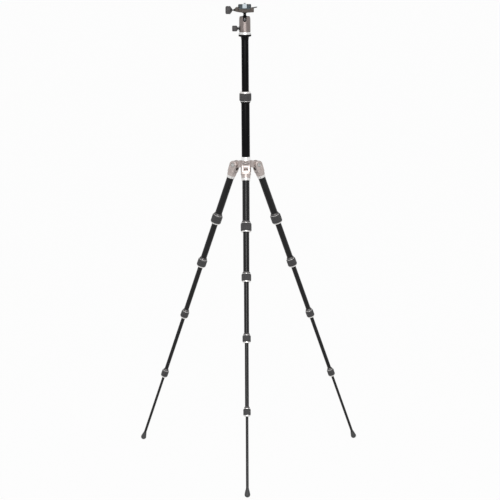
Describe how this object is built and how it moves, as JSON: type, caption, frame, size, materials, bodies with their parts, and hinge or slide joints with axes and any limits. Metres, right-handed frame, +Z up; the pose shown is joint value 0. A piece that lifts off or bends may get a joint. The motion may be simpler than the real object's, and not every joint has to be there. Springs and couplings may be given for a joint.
{
  "type": "travel tripod with ball head",
  "caption": "Travel tripod at full height, with telescoping twist-lock legs and centre column, ball head, quick-release clamp and empty camera plate.",
  "frame": {"origin": "on the floor, under the centre column's axis, with the legs at their first stop", "axes": "+Z up along the column; the front leg points to -Y; the clamp's knob points to -X and the safety lever to +X"},
  "size_m": [0.776, 0.6746, 1.5687],
  "materials": {
    "black_anodised": "gloss black anodised",
    "silver_casting": "satin cast",
    "bright_silver": "bright turned",
    "titanium_housing": "satin anodised",
    "clamp_bronze": "dark anodised",
    "plate_slate": "matt anodised",
    "steel": "plated",
    "grip_rubber": "ribbed",
    "knob_rubber": "matt",
    "foot_rubber": "matt",
    "black_plastic": "satin",
    "pale_plastic": "satin",
    "level_green": "clear and green"
  },
  "bodies": {
    "hub": {"hub_spider": "silver_casting", "hub_top_ring": "bright_silver", "leg_pivot_hardware": "steel"},
    "column_lock_knob": {"column_lock_knob": "knob_rubber"},
    "lower_column": {"lower_column": "black_anodised"},
    "column_hook": {"column_hook": "steel"},
    "column_twist_lock": {"column_twist_lock": "grip_rubber"},
    "upper_column": {"upper_column": "black_anodised", "pan_base": "bright_silver"},
    "head_housing": {"ball_housing": "titanium_housing", "ball_cup": "black_plastic"},
    "pan_lock_knob": {"pan_lock_knob": "knob_rubber"},
    "ball_lock_knob": {"ball_lock_knob": "knob_rubber"},
    "ball": {"ball": "black_anodised"},
    "ball_stem": {"ball_stem": "steel"},
    "clamp": {"clamp_body": "clamp_bronze", "bubble_level": "level_green"},
    "clamp_jaw": {"clamp_jaw": "clamp_bronze"},
    "clamp_knob": {"clamp_knob": "knob_rubber"},
    "safety_lever": {"safety_lever": "black_plastic"},
    "camera_plate": {"quick_plate": "plate_slate", "plate_pad": "grip_rubber", "plate_stop_lug": "pale_plastic"},
    "camera_screw": {"camera_screw": "steel"},
    "front_leg": {"front_leg_casting": "silver_casting", "front_leg_tube_1": "black_anodised"},
    "front_angle_tab": {"front_angle_tab": "silver_casting"},
    "front_tube_2": {"front_leg_tube_2": "black_anodised"},
    "front_tube_3": {"front_leg_tube_3": "black_anodised"},
    "front_tube_4": {"front_leg_tube_4": "black_anodised"},
    "front_tube_5": {"front_leg_tube_5": "black_anodised", "front_foot": "foot_rubber"},
    "front_lock_1": {"front_leg_lock_1": "grip_rubber"},
    "front_lock_2": {"front_leg_lock_2": "grip_rubber"},
    "front_lock_3": {"front_leg_lock_3": "grip_rubber"},
    "front_lock_4": {"front_leg_lock_4": "grip_rubber"},
    "right_leg": {"right_leg_casting": "silver_casting", "right_leg_tube_1": "black_anodised"},
    "right_angle_tab": {"right_angle_tab": "silver_casting"},
    "right_tube_2": {"right_leg_tube_2": "black_anodised"},
    "right_tube_3": {"right_leg_tube_3": "black_anodised"},
    "right_tube_4": {"right_leg_tube_4": "black_anodised"},
    "right_tube_5": {"right_leg_tube_5": "black_anodised", "right_foot": "foot_rubber"},
    "right_lock_1": {"right_leg_lock_1": "grip_rubber"},
    "right_lock_2": {"right_leg_lock_2": "grip_rubber"},
    "right_lock_3": {"right_leg_lock_3": "grip_rubber"},
    "right_lock_4": {"right_leg_lock_4": "grip_rubber"},
    "left_leg": {"left_leg_casting": "silver_casting", "left_leg_tube_1": "black_anodised"},
    "left_angle_tab": {"left_angle_tab": "silver_casting"},
    "left_tube_2": {"left_leg_tube_2": "black_anodised"},
    "left_tube_3": {"left_leg_tube_3": "black_anodised"},
    "left_tube_4": {"left_leg_tube_4": "black_anodised"},
    "left_tube_5": {"left_leg_tube_5": "black_anodised", "left_foot": "foot_rubber"},
    "left_lock_1": {"left_leg_lock_1": "grip_rubber"},
    "left_lock_2": {"left_leg_lock_2": "grip_rubber"},
    "left_lock_3": {"left_leg_lock_3": "grip_rubber"},
    "left_lock_4": {"left_leg_lock_4": "grip_rubber"}
  },
  "joints": [
    {"name": "front_leg_swing", "type": "hinge", "parent": "hub", "child": "front_leg", "pos_m": [0, -0.0434, 1.0247], "axis": [-1, 0, 0], "range_deg": [-21.2, 154.8]},
    {"name": "right_leg_swing", "type": "hinge", "parent": "hub", "child": "right_leg", "pos_m": [0.03759, 0.0217, 1.0247], "axis": [0.5, -0.866, 0], "range_deg": [-21.2, 154.8]},
    {"name": "left_leg_swing", "type": "hinge", "parent": "hub", "child": "left_leg", "pos_m": [-0.03759, 0.0217, 1.0247], "axis": [0.5, 0.866, 0], "range_deg": [-21.2, 154.8]},
    {"name": "lower_column_slide", "type": "slide", "parent": "hub", "child": "lower_column", "axis": [0, 0, 1], "range_m": [-0.18, 0]},
    {"name": "upper_column_slide", "type": "slide", "parent": "lower_column", "child": "upper_column", "axis": [0, 0, -1], "range_m": [0, 0.1716]},
    {"name": "pan", "type": "hinge", "parent": "upper_column", "child": "head_housing", "pos_m": [0, 0, 1.4774], "axis": [0, 0, 1], "continuous": true},
    {"name": "ball_tilt", "type": "hinge", "parent": "head_housing", "child": "ball", "pos_m": [0, 0, 1.5124], "axis": [-1, 0, 0], "range_deg": [-90, 20]},
    {"name": "ball_side_tilt", "type": "hinge", "parent": "ball", "child": "ball_stem", "pos_m": [0, 0, 1.5124], "axis": [0, 1, 0], "range_deg": [0, 28]},
    {"name": "clamp_turn", "type": "hinge", "parent": "ball_stem", "child": "clamp", "pos_m": [0, 0, 1.5417], "axis": [0, 0, -1], "continuous": true},
    {"name": "clamp_knob_turn", "type": "hinge", "parent": "clamp_jaw", "child": "clamp_knob", "pos_m": [-0.052, 0, 1.5453], "axis": [-1, 0, 0], "range_deg": [0, 1440]},
    {"name": "clamp_jaw_slide", "type": "slide", "parent": "clamp", "child": "clamp_jaw", "axis": [-1, 0, 0], "range_m": [0, 0.004]},
    {"name": "camera_plate_slide", "type": "slide", "parent": "clamp", "child": "camera_plate", "axis": [0, 1, 0], "range_m": [-0.055, 0.02]},
    {"name": "front_tube_2_slide", "type": "slide", "parent": "front_leg", "child": "front_tube_2", "axis": [0, 0.3616, 0.9323], "range_m": [0, 0.132]},
    {"name": "front_tube_3_slide", "type": "slide", "parent": "front_tube_2", "child": "front_tube_3", "axis": [0, 0.3616, 0.9323], "range_m": [0, 0.1665]},
    {"name": "front_tube_4_slide", "type": "slide", "parent": "front_tube_3", "child": "front_tube_4", "axis": [0, 0.3616, 0.9323], "range_m": [0, 0.2035]},
    {"name": "front_tube_5_slide", "type": "slide", "parent": "front_tube_4", "child": "front_tube_5", "axis": [0, 0.3616, 0.9323], "range_m": [0, 0.23]},
    {"name": "safety_lever_press", "type": "hinge", "parent": "clamp", "child": "safety_lever", "pos_m": [0.0268, 0, 1.5519], "axis": [0, 1, 0], "range_deg": [0, 9], "stiffness_Nm_per_rad": 0.02, "springref_deg": -17.19},
    {"name": "front_tab_pull", "type": "slide", "parent": "front_leg", "child": "front_angle_tab", "axis": [0, -0.9323, 0.3616], "range_m": [0, 0.005], "stiffness_N_per_m": 400, "springref_m": -0.002},
    {"name": "pan_lock_turn", "type": "hinge", "parent": "head_housing", "child": "pan_lock_knob", "pos_m": [-0.032, 0, 1.4843], "axis": [-1, 0, 0], "range_deg": [0, 180]},
    {"name": "ball_lock_turn", "type": "hinge", "parent": "head_housing", "child": "ball_lock_knob", "pos_m": [0, 0.034, 1.4989], "axis": [0, 1, 0], "range_deg": [0, 180]},
    {"name": "column_lock_turn", "type": "hinge", "parent": "hub", "child": "column_lock_knob", "pos_m": [0, 0.035, 1.0167], "axis": [0, 1, 0], "range_deg": [0, 180]},
    {"name": "column_twist_lock_turn", "type": "hinge", "parent": "lower_column", "child": "column_twist_lock", "pos_m": [0, 0, 1.2557], "axis": [0, 0, 1], "range_deg": [0, 90]},
    {"name": "column_hook_pull", "type": "slide", "parent": "lower_column", "child": "column_hook", "axis": [0, 0, -1], "range_m": [0, 0.0115], "stiffness_N_per_m": 150, "springref_m": -0.004},
    {"name": "camera_screw_turn", "type": "hinge", "parent": "camera_plate", "child": "camera_screw", "pos_m": [0, 0, 1.5637], "axis": [0, 0, 1], "continuous": true},
    {"name": "front_lock_1_turn", "type": "hinge", "parent": "front_leg", "child": "front_lock_1", "pos_m": [0, -0.11789, 0.83264], "axis": [0, 0.3616, 0.9323], "range_deg": [0, 90]},
    {"name": "front_lock_2_turn", "type": "hinge", "parent": "front_tube_2", "child": "front_lock_2", "pos_m": [0, -0.17937, 0.67415], "axis": [0, 0.3616, 0.9323], "range_deg": [0, 90]},
    {"name": "front_lock_3_turn", "type": "hinge", "parent": "front_tube_3", "child": "front_lock_3", "pos_m": [0, -0.25332, 0.48349], "axis": [0, 0.3616, 0.9323], "range_deg": [0, 90]},
    {"name": "front_lock_4_turn", "type": "hinge", "parent": "front_tube_4", "child": "front_lock_4", "pos_m": [0, -0.34066, 0.25833], "axis": [0, 0.3616, 0.9323], "range_deg": [0, 90]},
    {"name": "right_tab_pull", "type": "slide", "parent": "right_leg", "child": "right_angle_tab", "axis": [0.8074, 0.4662, 0.3616], "range_m": [0, 0.005], "stiffness_N_per_m": 400, "springref_m": -0.002},
    {"name": "left_tab_pull", "type": "slide", "parent": "left_leg", "child": "left_angle_tab", "axis": [-0.8074, 0.4662, 0.3616], "range_m": [0, 0.005], "stiffness_N_per_m": 400, "springref_m": -0.002},
    {"name": "right_tube_2_slide", "type": "slide", "parent": "right_leg", "child": "right_tube_2", "axis": [-0.3132, -0.1808, 0.9323], "range_m": [0, 0.132]},
    {"name": "right_tube_3_slide", "type": "slide", "parent": "right_tube_2", "child": "right_tube_3", "axis": [-0.3132, -0.1808, 0.9323], "range_m": [0, 0.1665]},
    {"name": "right_tube_4_slide", "type": "slide", "parent": "right_tube_3", "child": "right_tube_4", "axis": [-0.3132, -0.1808, 0.9323], "range_m": [0, 0.2035]},
    {"name": "right_tube_5_slide", "type": "slide", "parent": "right_tube_4", "child": "right_tube_5", "axis": [-0.3132, -0.1808, 0.9323], "range_m": [0, 0.23]},
    {"name": "left_tube_2_slide", "type": "slide", "parent": "left_leg", "child": "left_tube_2", "axis": [0.3132, -0.1808, 0.9323], "range_m": [0, 0.132]},
    {"name": "left_tube_3_slide", "type": "slide", "parent": "left_tube_2", "child": "left_tube_3", "axis": [0.3132, -0.1808, 0.9323], "range_m": [0, 0.1665]},
    {"name": "left_tube_4_slide", "type": "slide", "parent": "left_tube_3", "child": "left_tube_4", "axis": [0.3132, -0.1808, 0.9323], "range_m": [0, 0.2035]},
    {"name": "left_tube_5_slide", "type": "slide", "parent": "left_tube_4", "child": "left_tube_5", "axis": [0.3132, -0.1808, 0.9323], "range_m": [0, 0.23]},
    {"name": "right_lock_1_turn", "type": "hinge", "parent": "right_leg", "child": "right_lock_1", "pos_m": [0.1021, 0.05895, 0.83264], "axis": [-0.3132, -0.1808, 0.9323], "range_deg": [0, 90]},
    {"name": "right_lock_2_turn", "type": "hinge", "parent": "right_tube_2", "child": "right_lock_2", "pos_m": [0.15534, 0.08969, 0.67415], "axis": [-0.3132, -0.1808, 0.9323], "range_deg": [0, 90]},
    {"name": "right_lock_3_turn", "type": "hinge", "parent": "right_tube_3", "child": "right_lock_3", "pos_m": [0.21938, 0.12666, 0.48349], "axis": [-0.3132, -0.1808, 0.9323], "range_deg": [0, 90]},
    {"name": "right_lock_4_turn", "type": "hinge", "parent": "right_tube_4", "child": "right_lock_4", "pos_m": [0.29502, 0.17033, 0.25833], "axis": [-0.3132, -0.1808, 0.9323], "range_deg": [0, 90]},
    {"name": "left_lock_1_turn", "type": "hinge", "parent": "left_leg", "child": "left_lock_1", "pos_m": [-0.1021, 0.05895, 0.83264], "axis": [0.3132, -0.1808, 0.9323], "range_deg": [0, 90]},
    {"name": "left_lock_2_turn", "type": "hinge", "parent": "left_tube_2", "child": "left_lock_2", "pos_m": [-0.15534, 0.08969, 0.67415], "axis": [0.3132, -0.1808, 0.9323], "range_deg": [0, 90]},
    {"name": "left_lock_3_turn", "type": "hinge", "parent": "left_tube_3", "child": "left_lock_3", "pos_m": [-0.21938, 0.12666, 0.48349], "axis": [0.3132, -0.1808, 0.9323], "range_deg": [0, 90]},
    {"name": "left_lock_4_turn", "type": "hinge", "parent": "left_tube_4", "child": "left_lock_4", "pos_m": [-0.29502, 0.17033, 0.25833], "axis": [0.3132, -0.1808, 0.9323], "range_deg": [0, 90]}
  ],
  "couplings": [
    {"joint": "clamp_knob_turn", "follows": "clamp_jaw_slide", "rad_per_m": 6283.2}
  ]
}
